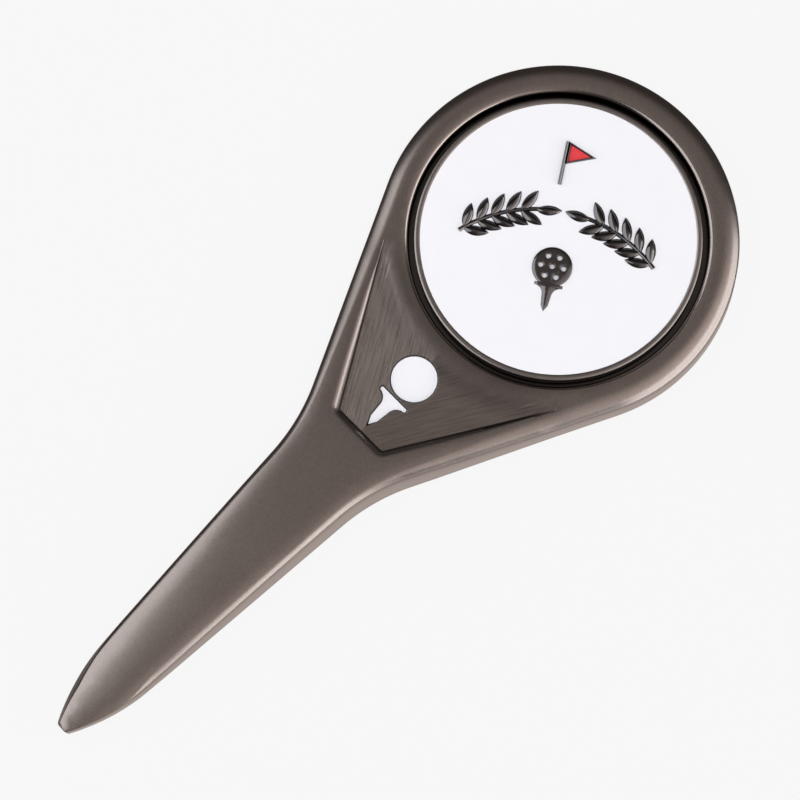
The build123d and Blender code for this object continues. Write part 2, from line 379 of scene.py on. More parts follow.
def crossing(first, first_angle, second, second_angle):
    """Point where two lines meet, each falling towards +X at its angle in degrees."""
    fall_a = math.tan(math.radians(first_angle))
    fall_b = math.tan(math.radians(second_angle))
    x = (second[1] - first[1] + second[0] * fall_b - first[0] * fall_a) / (fall_b - fall_a)
    return (x, first[1] - (x - first[0]) * fall_a)


def straight(start, end, pitch):
    """Points from start to just before end, about pitch apart."""
    count = max(math.ceil(np.linalg.norm(end - start) / pitch), 1)
    return [start + (end - start) * i / count for i in range(count)]


def rounded_path(corners, radii, pitch):
    """Points about pitch apart along a run of corners, each rounded to its radius."""
    corners = [np.array(corner, float) for corner in corners]
    here = corners[0]
    points = []
    for before, corner, after, radius in zip(corners, corners[1:], corners[2:], radii):
        back = unit(before - corner)
        ahead = unit(after - corner)
        half_turn = (math.pi - math.acos(np.clip(back @ ahead, -1, 1))) / 2
        start = corner + back * radius * math.tan(half_turn)
        centre = corner + unit(back + ahead) * radius / math.cos(half_turn)
        side = math.copysign(1, back[1] * ahead[0] - back[0] * ahead[1])
        steps = max(math.ceil(2 * half_turn * radius / pitch), LEAST_ARC_STEPS)
        points += straight(here, start, pitch)
        for i in range(steps):
            points.append(centre + turned(start - centre, side * 2 * half_turn * i / steps))
        here = centre + turned(start - centre, side * 2 * half_turn)
    return np.array(points + straight(here, corners[-1], pitch) + [corners[-1]])


def turned(points, angle):
    """Points or one point turned about the origin by an angle in radians."""
    c, s = math.cos(angle), math.sin(angle)
    return np.asarray(points) @ np.array([[c, s], [-s, c]])


def mirrored_loop(half):
    """Closed loop from one side of a shape that is symmetric about X, both ends on the axis."""
    other = half[-2:0:-1] * (1, -1)
    return np.vstack([half, other])


def circle(radius, centre=(0, 0), steps=CIRCLE_STEPS):
    """Points round a circle."""
    angles = np.arange(steps) * 2 * math.pi / steps
    return np.stack([np.cos(angles), np.sin(angles)], 1) * radius + centre


def left_normals(points, closed):
    """Unit normal on the left of the path at each point, lengthened at corners as a mitre."""
    if closed:
        before = points - np.roll(points, 1, 0)
        after = np.roll(points, -1, 0) - points
    else:
        steps = np.diff(points, axis=0)
        before = np.vstack([steps[:1], steps])
        after = np.vstack([steps, steps[-1:]])
    before /= np.linalg.norm(before, axis=1)[:, None]
    after /= np.linalg.norm(after, axis=1)[:, None]
    middle = before + after
    middle /= np.linalg.norm(middle, axis=1)[:, None]
    stretch = 1 / np.maximum(np.sum(middle * after, 1), LEAST_MITRE_COSINE)
    return np.stack([-middle[:, 1], middle[:, 0]], 1) * stretch[:, None]


def distance_to(points, samples):
    """Distance from each point to the nearest sample."""
    gaps = points[:, None, :] - samples[None, :, :]
    return np.sqrt((gaps**2).sum(2).min(1))


def inside(points, loop):
    """Which points lie inside a closed loop."""
    x, y = points[:, 0][:, None], points[:, 1][:, None]
    x0, y0 = loop[:, 0], loop[:, 1]
    x1, y1 = np.roll(x0, -1), np.roll(y0, -1)
    crosses = (y0 > y) != (y1 > y)
    height = np.where(y1 == y0, 1, y1 - y0)
    return (crosses & (x < x0 + (y - y0) * (x1 - x0) / height)).sum(1) % 2 == 1


# ---- mesh making


def with_height(points, z):
    """Plan points with a height each."""
    return np.column_stack([points, np.broadcast_to(z, len(points))])


def triangulated(rings, loose=()):
    """Triangles through (points, closed) rings and loose points, inside the first ring."""
    places, edges = [], []
    for points, closed in rings:
        first = len(places)
        count = len(points)
        places += list(points)
        edges += [(first + i, first + (i + 1) % count) for i in range(count if closed else count - 1)]
    places = np.array(places + list(loose))
    flat = [Vector(p[:2]) for p in places]
    made = delaunay_2d_cdt(flat, edges, [], INSIDE_OUTER_RING, SAME_POINT, True)
    verts, _, faces, origins, _, _ = made
    plan = np.array(verts)
    middles = np.array([plan[list(face)].mean(0) for face in faces])
    kept = inside(middles, np.array(rings[0][0])[:, :2])
    faces = [face for face, keep in zip(faces, kept) if keep]
    heights = []
    for vert, origin in zip(verts, origins):
        if not origin:
            origin = [int(np.argmin(((places[:, :2] - np.array(vert)) ** 2).sum(1)))]
        heights.append(places[origin[0], 2])
    return [(v[0], v[1], z) for v, z in zip(verts, heights)], [tuple(f) for f in faces]


def banded(rings, closed=True):
    """Vertices and quads between rings that have the same number of points."""
    count = len(rings[0])
    verts = [tuple(p) for ring in rings for p in ring]
    faces = []
    for k in range(len(rings) - 1):
        for i in range(count if closed else count - 1):
            j = (i + 1) % count
            faces.append((k * count + i, k * count + j, (k + 1) * count + j, (k + 1) * count + i))
    return verts, faces


def joined(*parts):
    """Several (vertices, faces) as one."""
    verts, faces = [], []
    for part_verts, part_faces in parts:
        first = len(verts)
        verts += part_verts
        faces += [tuple(first + i for i in face) for face in part_faces]
    return verts, faces


def piece(name, shape, sharp_angle=SHARP_ANGLE, turn=0):
    """A smooth-shaded object from vertices in millimetres, turned about Z by turn degrees."""
    verts, faces = shape
    places = np.array(verts, float)
    places[:, :2] = turned(places[:, :2], math.radians(turn))
    mesh = bpy.data.meshes.new(name)
    mesh.from_pydata((places * MM).tolist(), [], faces)
    work = bmesh.new()
    work.from_mesh(mesh)
    bmesh.ops.remove_doubles(work, verts=work.verts, dist=SAME_VERTEX)
    bmesh.ops.dissolve_degenerate(work, edges=work.edges, dist=NO_LENGTH)
    bmesh.ops.recalc_face_normals(work, faces=work.faces)
    work.to_mesh(mesh)
    work.free()
    mesh.polygons.foreach_set("use_smooth", [True] * len(mesh.polygons))
    mesh.set_sharp_from_angle(angle=math.radians(sharp_angle))
    mesh.update()
    made = bpy.data.objects.new(name, mesh)
    bpy.context.scene.collection.objects.link(made)
    return made


# ---- casting

SHOULDER = (
    HEAD_RADIUS * math.sin(math.radians(SHOULDER_ANGLE)),
    HEAD_RADIUS * math.cos(math.radians(SHOULDER_ANGLE)),
)
NECK = crossing(SHOULDER, SHOULDER_ANGLE, PRONG_GAUGE, PRONG_TAPER)
POINT_START = crossing(PRONG_GAUGE, PRONG_TAPER, POINT_CORNER, POINT_ANGLE)


def body_half_outline():
    """The +Y side of the outline, from the back of the head round to the point."""
    angles = np.radians(np.linspace(180, 90 - SHOULDER_ANGLE, HEAD_ARC_STEPS, endpoint=False))
    head = np.stack([np.cos(angles), np.sin(angles)], 1) * HEAD_RADIUS
    corners = [SHOULDER, NECK, POINT_START, POINT_CORNER, (POINT_CORNER[0], 0)]
    radii = [NECK_BLEND_RADIUS, POINT_BLEND_RADIUS, POINT_CORNER_RADIUS]
    return np.vstack([head, rounded_path(corners, radii, OUTLINE_PITCH)])


HALF_OUTLINE = body_half_outline()
OUTLINE = mirrored_loop(HALF_OUTLINE)
INWARD = -left_normals(OUTLINE, True)


def local_half_width(x):
    """Half width of the outline at each x on the prong side of the head."""
    side = HALF_OUTLINE[HALF_OUTLINE[:, 0] > 0]
    return np.maximum(np.interp(x, side[:, 0], side[:, 1]), POINT_CORNER[1])


def roll_width(x):
    """How far in the rounded upper edge reaches."""
    xs, widths, _ = np.transpose(ROLL)
    return np.minimum(np.interp(x, xs, widths), ROLL_LARGEST_SHARE * local_half_width(x))


def roll_drop(x):
    """How far down the side wall the rounded upper edge reaches."""
    xs, _, drops = np.transpose(ROLL)
    return np.interp(x, xs, drops)


def wall_shift(x, z):
    """How far in the side wall stands at a height."""
    xs, feet, angles = np.transpose(DRAFT)
    slope = np.tan(np.radians(np.interp(x, xs, angles)))
    return slope * z - np.interp(x, xs, feet)


def rounding_reach(x):
    """How far in the front surface starts."""
    return roll_width(x) + wall_shift(x, HEAD_THICKNESS)


def edge_distance(points):
    """How far in from the outline each point lies."""
    return distance_to(points, OUTLINE)


def edge_fall(points):
    """How far the front falls as it nears its edge."""
    x = points[:, 0]
    xs, depths, reaches = np.transpose(EDGE_FALL)
    nearness = np.clip(1 - edge_distance(points) / np.interp(x, xs, reaches), 0, 1)
    return np.interp(x, xs, depths) * nearness**2


def front_at(points):
    """Height of the front: flat head, raised neck, crowned prong that thins towards its point."""
    x, y = points.T
    rise = NECK_RISE * eased((x - NECK_RISE_START_X) / (NECK_CREST_X - NECK_RISE_START_X))
    run = np.maximum((x - NECK_CREST_X) / (POINT_CORNER[0] - NECK_CREST_X), 0)
    drop = POINT_DROP * run**POINT_DROP_POWER
    crown = np.interp(x, *np.transpose(CROWN))
    return HEAD_THICKNESS + rise - drop - crown * y * y - edge_fall(points)


def recess_floor(points):
    """Height of the recess floor, which runs out into the flat ring round the pocket."""
    x, y = points.T
    ring = faded(np.hypot(x, y), *RECESS_FADE_RADIUS)
    along = faded(x, *RECESS_FADE_X)
    return HEAD_THICKNESS - edge_fall(points) - RECESS_DEPTH * ring * along


def recess_path():
    """Foot of the recess wall: one side, the end across the prong, the other side."""
    side = math.radians(RECESS_SIDE_ANGLE)
    start = (
        RECESS_END[0] - RECESS_SIDE_LENGTH * math.cos(side),
        RECESS_END[1] + RECESS_SIDE_LENGTH * math.sin(side),
    )
    corners = [start, RECESS_END, (RECESS_END[0], -RECESS_END[1]), (start[0], -start[1])]
    return rounded_path(corners, [RECESS_CORNER_RADIUS] * 2, RECESS_PITCH)


def tee_half(length, cup_half_width, stem_half_width, corner_radius, pitch):
    """The +Y side of a golf tee seen from the side, cup edge at x = 0 and point at x = length."""
    rim = TEE_RIM_SHARE * length
    waist = TEE_WAIST_SHARE * length
    shoulder = TEE_SHOULDER_SHARE * length
    sweep = np.linspace(0, math.pi / 2, TEE_HOLLOW_POINTS + 2)[1:-1]
    hollow = [
        (
            waist - (waist - rim) * math.cos(a),
            cup_half_width - (cup_half_width - stem_half_width) * math.sin(a),
        )
        for a in sweep
    ]
    corners = [
        (0, 0),
        (0, cup_half_width),
        (rim, cup_half_width),
        *hollow,
        (waist, stem_half_width),
        (shoulder, TEE_STEM_TAPER * stem_half_width),
        (length, 0),
    ]
    soft = [TEE_SOFT_SHARE * corner_radius] * (len(hollow) + 1)
    return rounded_path(corners, [corner_radius] * 2 + soft + [corner_radius], pitch)


def inlay_loops():
    """Walls of the two inlay cells: the ball and the tee."""
    ball = circle(INLAY_BALL_RADIUS, (INLAY_BALL_X, 0), INLAY_BALL_STEPS)
    tee_start = (INLAY_BALL_X + INLAY_BALL_RADIUS + INLAY_GAP, 0)
    half = tee_half(
        INLAY_TEE_LENGTH,
        INLAY_CUP_HALF_WIDTH,
        INLAY_STEM_HALF_WIDTH,
        INLAY_CORNER_RADIUS,
        INLAY_TEE_PITCH,
    )
    return [ball, mirrored_loop(half)[::-1] + tee_start]


def bevel_section():
    """Shares of width and drop along a flat bevel with a softly rounded upper edge."""
    flat = BEVEL_FLAT_SHARE
    corner = np.array([1.0, 0.0])
    start = np.array([flat, 1 - flat])
    end = np.array([2 - flat, 0.0])
    points = [(u, 1 - u) for u in np.linspace(0, flat, ROLL_STEPS + 1 - BEVEL_CORNER_STEPS)]
    for k in range(1, BEVEL_CORNER_STEPS + 1):
        t = k / BEVEL_CORNER_STEPS
        points.append(start * (1 - t) ** 2 + corner * 2 * t * (1 - t) + end * t**2)
    return points


def roll_rings():
    """Rings of the rounded upper edge, from the side wall up to the front surface."""
    along, across = OUTLINE.T
    point = eased((along - BEVEL_START_X) / (BEVEL_FULL_X - BEVEL_START_X))
    ground_side = eased(0.5 - across / BEVEL_TURN_WIDTH)
    bevel = point * ground_side
    size = 1 - (1 - UNGROUND_SHARE) * point * (1 - ground_side)
    width = roll_width(along) * size
    drop = roll_drop(along) * size
    rings = []
    for k, (bevel_in, bevel_down) in enumerate(bevel_section()):
        angle = math.pi / 2 * k / ROLL_STEPS
        inwards = (1 - math.cos(angle)) * (1 - bevel) + bevel_in * bevel
        down = (1 - math.sin(angle)) * (1 - bevel) + bevel_down * bevel
        points = OUTLINE + INWARD * (width * inwards)[:, None]
        points += INWARD * wall_shift(along, front_at(points) - drop * down)[:, None]
        rings.append(with_height(points, front_at(points) - drop * down))
    return rings


def recess_rings():
    """Lines up the wall of the recess."""
    foot = recess_path()
    outward = left_normals(foot, False)
    floor = recess_floor(foot)
    step = np.maximum(front_at(foot) - floor, 0)
    room = edge_distance(foot) - rounding_reach(foot[:, 0]) - RECESS_WALL_MARGIN
    spread = np.clip(RECESS_WALL_LEAST_SPREAD + step / RECESS_WALL_FULL_STEP, 0, 1)
    widest = np.maximum(room, RECESS_WALL_LEAST_ROOM) / RECESS_WALL[-1][0]
    spread = np.minimum(spread, widest)[:, None]
    rings = []
    for distance, share in RECESS_WALL:
        points = foot + outward * (distance * spread if distance > 0 else distance)
        height = recess_floor(foot) * (1 - share) + front_at(points) * share
        rings.append(with_height(points, height))
    return rings


def inlay_rings(wall):
    """Lines up the wall and over the lip of one inlay cell."""
    outward = -left_normals(wall, True)
    rings = []
    for distance, depth in INLAY_LIP:
        points = wall + outward * distance
        rings.append(with_height(points, recess_floor(points) - depth))
    return rings


def pocket_rings():
    """Circles down the pocket and its magnet bore."""
    rings = []
    flat = POCKET_EDGE_FLATNESS
    outer = circle(POCKET_RADIUS + POCKET_EDGE_RADIUS)
    for k in range(POCKET_EDGE_STEPS + 1):
        share = k / POCKET_EDGE_STEPS
        angle = math.pi / 2 * share
        out = (1 - math.sin(angle)) * (1 - flat) + (1 - share) * flat
        drop = (1 - math.cos(angle)) * (1 - flat) + share * flat
        points = circle(POCKET_RADIUS + POCKET_EDGE_RADIUS * out)
        rings.append(with_height(points, recess_floor(outer) - POCKET_EDGE_RADIUS * drop))
    floor_z = HEAD_THICKNESS - POCKET_DEPTH
    for radius, z in [
        (POCKET_RADIUS - WALL_LEAN, floor_z),
        (BORE_RADIUS, floor_z),
        (BORE_RADIUS - WALL_LEAN, HEAD_THICKNESS - BORE_DEPTH),
    ]:
        rings.append(with_height(circle(radius), z))
    return rings


def in_recess(points, foot):
    """Which points lie over the recess floor or the head ring beside it."""
    past_ends = (RECESS_OVERRUN, 0)
    closed = np.vstack([foot, [foot[-1] - past_ends], [foot[0] - past_ends]])
    return inside(points, closed)


def body_grid(rings):
    """Loose points that fill the front between the rings."""
    low = OUTLINE.min(0)
    high = OUTLINE.max(0)
    xs = np.arange(low[0], high[0], GRID_PITCH)
    ys = np.arange(low[1], high[1], GRID_PITCH * math.sqrt(3) / 2)
    grid = np.array([(x + (j % 2) * GRID_PITCH / 2, y) for j, y in enumerate(ys) for x in xs])
    taken = np.vstack([ring[:, :2] for ring, _ in rings])
    grid = grid[inside(grid, OUTLINE) & (np.hypot(grid[:, 0], grid[:, 1]) > POCKET_RADIUS)]
    for wall in inlay_loops():
        grid = grid[~inside(grid, wall)]
    grid = grid[distance_to(grid, taken) > GRID_CLEARANCE]
    grid = grid[edge_distance(grid) > rounding_reach(grid[:, 0])]
    low_part = in_recess(grid, recess_path())
    return with_height(grid, np.where(low_part, recess_floor(grid), front_at(grid)))


def side_and_back():
    """Side wall, rounded back edge and flat back."""
    rings = [roll_rings()[0]]
    size = np.minimum(BACK_EDGE_RADIUS, BACK_EDGE_LARGEST_SHARE * local_half_width(OUTLINE[:, 0]))
    for k in range(BACK_EDGE_STEPS + 1):
        angle = math.pi / 2 * k / BACK_EDGE_STEPS
        height = size * (1 - math.sin(angle))
        shift = size * (1 - math.cos(angle)) + wall_shift(OUTLINE[:, 0], height)
        rings.append(with_height(OUTLINE + INWARD * shift[:, None], height))
    rings.append(with_height(OUTLINE + INWARD * (shift + FLAT_MARGIN)[:, None], 0))
    back = triangulated([(rings[-1], True)])
    return joined(banded(rings), back)


def casting():
    """The whole body as one closed mesh."""
    rings = [(ring, True) for ring in roll_rings() + pocket_rings()]
    rings += [(ring, True) for wall in inlay_loops() for ring in inlay_rings(wall)]
    rings += [(ring, False) for ring in recess_rings()]
    front = triangulated(rings, body_grid(rings))
    return piece("body_casting", joined(front, side_and_back()))


def filled_cell(wall):
    """Enamel in one cell, drawn up a little along its wall."""
    inward = left_normals(wall, True)
    top = recess_floor(wall) - INLAY_FILL_DEPTH
    floor = recess_floor(wall) - INLAY_FLOOR_DEPTH
    rings = [with_height(wall, floor), with_height(wall, top)]
    over = [rings[1]]
    for distance, sink in INLAY_SINK:
        over.append(with_height(wall + inward * distance, top - sink))
    under = triangulated([(rings[0], True)])
    return joined(under, banded(rings), triangulated([(ring, True) for ring in over]))


def inlay_fill():
    """White enamel in the neck."""
    return piece("body_inlay_fill", joined(*[filled_cell(wall) for wall in inlay_loops()]))


# ---- ball marker


def turned_profile(profile):
    """Vertices and faces of a profile of (radius, z) turned about Z, closed at both ends."""
    rings = [with_height(circle(radius), z) for radius, z in profile]
    verts, faces = banded(rings)
    first = tuple(range(CIRCLE_STEPS))
    last = tuple(range(len(verts) - CIRCLE_STEPS, len(verts)))
    return verts, faces + [first, last]


def marker_disc():
    """Struck disc: flat underside, round rim, floor of the enamel cell."""
    inner = MARKER_RADIUS - MARKER_RIM_WIDTH
    middle = MARKER_RADIUS - MARKER_RIM_WIDTH / 2
    rim = []
    for k in range(MARKER_RIM_STEPS + 1):
        angle = math.pi * k / MARKER_RIM_STEPS
        fall = MARKER_RIM_ROUNDING * (1 - math.sin(angle))
        if angle > math.pi / 2:
            fall = MARKER_RIM_INNER_FALL * math.cos(angle) ** 2
        rim.append((middle + MARKER_RIM_WIDTH / 2 * math.cos(angle), MARKER_RIM_Z - fall))
    edge = MARKER_EDGE_RADIUS
    under = [
        (
            MARKER_RADIUS - edge * (1 - math.sin(angle)),
            MARKER_BASE_Z + edge * (1 - math.cos(angle)),
        )
        for angle in np.linspace(0, math.pi / 2, MARKER_EDGE_STEPS + 1)
    ]
    flat = (MARKER_RADIUS - edge - FLAT_MARGIN, MARKER_BASE_Z)
    profile = [flat] + under + rim + [(inner, CELL_FLOOR_Z)]
    return piece("marker_disc", turned_profile(profile))


def ridge(line, half_widths, closed=False, crest=RELIEF_CREST_Z):
    """Raised line with a domed section along a path in the marker's plane."""
    line = np.asarray(line, float)
    across = left_normals(line, closed)
    widths = np.broadcast_to(half_widths, len(line)).astype(float)
    fullness = np.sqrt(np.clip(widths / max(widths.max(), 1e-9), 0, 1))
    side = RELIEF_SIDE_Z - RIDGE_POINT_SINK * (1 - fullness)
    rings = [with_height(line - across * widths[:, None], RELIEF_FOOT_Z)]
    for share, lift in RIDGE:
        points = line + across * (share * widths)[:, None]
        height = side + (crest - RELIEF_SIDE_Z) * lift * fullness
        rings.append(with_height(points, height))
    rings.append(with_height(line + across * widths[:, None], RELIEF_FOOT_Z))
    rings.append(rings[0])
    verts, faces = banded(rings, closed)
    if not closed:
        count = len(line)
        faces.append(tuple(k * count for k in range(len(rings) - 1)))
        faces.append(tuple(k * count + count - 1 for k in reversed(range(len(rings) - 1))))
    return verts, faces


def leaf(root, heading):
    """Pointed leaf from its root, heading in degrees."""
    share = np.linspace(0, 1, LEAF_POINTS)
    line = np.stack([share * LEAF_LENGTH, LEAF_BEND * LEAF_LENGTH * np.sin(math.pi * share)], 1)
    widths = LEAF_WIDTH / 2 * np.sin(math.pi * share**LEAF_SKEW) ** LEAF_BLUNTNESS
    widths[[0, -1]] = LEAF_TIP_HALF_WIDTH
    return ridge(turned(line, math.radians(heading)) + root, widths)


def on_arch(angle):
    """Point of the laurel arch at an angle in degrees clockwise from its top."""
    a = math.radians(angle)
    return np.array([math.sin(a), math.cos(a)]) * ARCH_RADIUS + (0, ARCH_TOP_Y - ARCH_RADIUS)


def spray():
    """Right-hand laurel branch."""
    stem_angles = np.linspace(ARCH_END_ANGLE, ARCH_STEM_START_ANGLE, ARCH_STEM_POINTS)
    stem = np.array([on_arch(a) for a in stem_angles])
    taper = np.linspace(1, ARCH_STEM_END_SHARE, len(stem))
    parts = [ridge(stem, ARCH_STEM_WIDTH / 2 * taper, crest=RELIEF_CREST_Z - ARCH_STEM_SINK)]
    pitch = (ARCH_FIRST_LEAF_ANGLE - ARCH_LAST_LEAF_ANGLE) / LEAF_PAIRS
    for pair in range(LEAF_PAIRS):
        angle = ARCH_FIRST_LEAF_ANGLE - pair * pitch
        for side in (-LEAF_SPREAD, LEAF_SPREAD):
            parts.append(leaf(on_arch(angle), 180 + side - angle))
    heading = 180 + LAST_LEAF_TURN - ARCH_LAST_LEAF_ANGLE
    parts.append(leaf(on_arch(ARCH_LAST_LEAF_ANGLE), heading))
    return joined(*parts)


def flipped(shape):
    """A shape mirrored left to right in the marker's plane."""
    verts, faces = shape
    return [(-x, y, z) for x, y, z in verts], [tuple(reversed(face)) for face in faces]


def flag():
    """Pole and the outline of the pennant."""
    pole_y = np.linspace(*FLAG_POLE_Y, FLAG_POLE_POINTS)
    pole = ridge([(FLAG_POLE_X, y) for y in pole_y], FLAG_POLE_WIDTH / 2)
    slope = FLAG_HEIGHT / 2 / FLAG_LENGTH
    inset = FLAG_OUTLINE / 2
    length = FLAG_LENGTH - inset * (1 + math.hypot(1, slope) / slope)
    x = FLAG_POLE_X + FLAG_POLE_WIDTH / 2 + inset
    y = FLAG_POLE_Y[1] - FLAG_HEIGHT / 2
    corners = [(x, y + length * slope), (x, y - length * slope), (x + length, y)]
    outline = ridge(corners, inset + FLAG_OUTLINE_OVERLAP, True, RELIEF_CREST_Z - FLAG_SINK)
    return joined(pole, outline)


def ball():
    """Domed golf ball with small round dimples that hold white enamel."""
    centre = np.array([0, BALL_Y])

    def dome(points):
        share = np.linalg.norm(points - centre, axis=1) / BALL_RADIUS
        return RELIEF_SIDE_Z + BALL_RISE * np.sqrt(np.clip(1 + BALL_EDGE_LIFT - share**2, 0, 1))

    rings = [with_height(circle(BALL_RADIUS + BALL_WALL_LEAN, centre, BALL_STEPS), RELIEF_FOOT_Z)]
    for inset in BALL_RINGS:
        points = circle(BALL_RADIUS - inset, centre, BALL_STEPS)
        rings.append(with_height(points, dome(points)))
    spots = [centre] + [
        centre + turned(np.array([DIMPLE_RING_RADIUS, 0]), 2 * math.pi * i / DIMPLE_RING_COUNT)
        for i in range(DIMPLE_RING_COUNT)
    ]
    for spot in spots:
        floor = circle(DIMPLE_RADIUS - WALL_LEAN, spot, DIMPLE_STEPS)
        rings.append(with_height(floor, ENAMEL_Z - DIMPLE_DEPTH))
        for distance, depth in DIMPLE_LIP:
            points = circle(DIMPLE_RADIUS + distance, spot, DIMPLE_STEPS)
            rings.append(with_height(points, dome(points) - depth))
    over = triangulated([(ring, True) for ring in rings])
    under = triangulated([(rings[0], True)])
    return joined(over, under)


def tee():
    """Tee under the ball, as a domed bar whose width follows the tee's outline."""
    half = tee_half(
        TEE_LENGTH, TEE_CUP_HALF_WIDTH, TEE_STEM_HALF_WIDTH, TEE_CORNER_RADIUS, TEE_PITCH
    )
    half = half[np.diff(half[:, 0], prepend=-1) > TEE_LEAST_STEP]
    widths = np.maximum(half[:, 1], TEE_LEAST_HALF_WIDTH)
    return ridge([(0, TEE_TOP_Y - down) for down in half[:, 0]], widths)


def marker_relief():
    """Everything raised inside the rim."""
    branch = spray()
    shape = joined(branch, flipped(branch), flag(), ball(), tee())
    return piece("marker_relief", shape, RELIEF_SHARP_ANGLE, MARKER_TURN)


# ---- materials


def feed(tree, node, key, value):
    """Set an input of a node to a value, or link it to an output."""
    if isinstance(value, bpy.types.NodeSocket):
        tree.links.new(value, node.inputs[key])
    else:
        node.inputs[key].default_value = value


def add_node(tree, kind, inputs, **settings):
    """Add a node, with its inputs and its settings."""
    node = tree.nodes.new(kind)
    for key, value in settings.items():
        setattr(node, key, value)
    for key, value in inputs.items():
        feed(tree, node, key, value)
    return node


class Nodes:
    """Short way to build a material's node tree."""

    def __init__(self, name):
        self.material = bpy.data.materials.new(name)
        self.material.use_nodes = True
        self.tree = self.material.node_tree
        self.shader = self.tree.nodes["Principled BSDF"]

    def add(self, kind, inputs=None, **settings):
        return add_node(self.tree, kind, inputs or {}, **settings)

    def set(self, **inputs):
        """Set the shader's inputs, named with _ for each space."""
        for key, value in inputs.items():
            feed(self.tree, self.shader, key.replace("_", " "), value)

    def math(self, operation, a, b=0.0, c=0.0):
        node = self.add("ShaderNodeMath", {0: a, 1: b, 2: c}, operation=operation)
        return node.outputs[0]

    def place(self):
        """Position on the piece, in millimetres."""
        here = self.add("ShaderNodeTexCoord").outputs["Object"]
        return self.scaled(here, (1 / MM,) * 3)

    def scaled(self, vector, scale):
        node = self.add("ShaderNodeMapping", {"Vector": vector, "Scale": scale})
        return node.outputs["Vector"]

    def noise(self, vector, scale, detail, rough=0.5):
        inputs = {"Vector": vector, "Scale": scale, "Detail": detail, "Roughness": rough}
        return self.add("ShaderNodeTexNoise", inputs).outputs["Fac"]

    def span(self, value, low, high):
        """A 0 to 1 value mapped to a range."""
        return self.math("MULTIPLY_ADD", value, high - low, low)

    def step(self, value, start, width):
        """Smooth step from 0 to 1 as the value passes start."""
        inputs = {"Value": value, "From Min": start, "From Max": start + width}
        return self.add("ShaderNodeMapRange", inputs, interpolation_type="SMOOTHSTEP").outputs[0]

    def radius(self, place):
        """Distance from the axis of the marker pocket."""
        flat = self.scaled(place, (1, 1, 0))
        return self.add("ShaderNodeVectorMath", {0: flat}, operation="LENGTH").outputs["Value"]

    def hollow_shade_mask(self, place):
        """1 in the shallow hollow between the pocket and the recess, where shade is painted."""
        parts = self.add("ShaderNodeSeparateXYZ", {"Vector": place})
        near = self.math("SUBTRACT", 1.0, self.step(self.radius(place), *HOLLOW_RADIUS))
        along = self.step(parts.outputs["X"], *HOLLOW_X)
        front = self.step(parts.outputs["Z"], *HOLLOW_Z)
        return self.math("MULTIPLY", self.math("MULTIPLY", near, along), front)

    def in_pocket(self, place, margin, fade):
        """1 in the marker pocket and a margin round it, fading over a distance. 0 on the back."""
        z = self.add("ShaderNodeSeparateXYZ", {"Vector": place}).outputs["Z"]
        near = self.math("SUBTRACT", 1.0, self.step(self.radius(place), POCKET_RADIUS + margin, fade))
        return self.math("MULTIPLY", near, self.step(z, *POCKET_Z))

    def strokes(self, place, scale):
        """Noise drawn out along the nearer side of the neck recess."""
        parts = self.add("ShaderNodeSeparateXYZ", {"Vector": place})
        x = parts.outputs["X"]
        y = self.math("ABSOLUTE", parts.outputs["Y"])
        side = math.radians(RECESS_SIDE_ANGLE)
        c, s = math.cos(side), math.sin(side)
        along = self.math("MULTIPLY_ADD", x, c, self.math("MULTIPLY", y, -s))
        across = self.math("MULTIPLY_ADD", x, s, self.math("MULTIPLY", y, c))
        flat = self.add("ShaderNodeCombineXYZ", {"X": along, "Y": across}).outputs[0]
        return self.noise(self.scaled(flat, scale), 1.0, 4.0, 0.65)

    def across_strokes(self, place):
        """Direction across the brushing, which is where brushed metal spreads its highlight."""
        y = self.add("ShaderNodeSeparateXYZ", {"Vector": place}).outputs["Y"]
        side = math.radians(RECESS_SIDE_ANGLE)
        across_y = self.math("MULTIPLY", self.math("SIGN", y), math.cos(side))
        inputs = {"X": math.sin(side), "Y": across_y}
        return self.add("ShaderNodeCombineXYZ", inputs).outputs[0]

    def shaded(self, colour, share):
        """A colour darkened to a share of itself."""
        inputs = {0: colour, "Scale": share}
        return self.add("ShaderNodeVectorMath", inputs, operation="SCALE").outputs[0]

    def blend(self, share, low, high):
        """Mix two colours."""
        return self.add("ShaderNodeMix", {0: share, 6: low, 7: high}, data_type="RGBA").outputs[2]

    def bump(self, height, distance_mm, strength):
        inputs = {"Height": height, "Distance": distance_mm * MM, "Strength": strength}
        return self.add("ShaderNodeBump", inputs).outputs["Normal"]


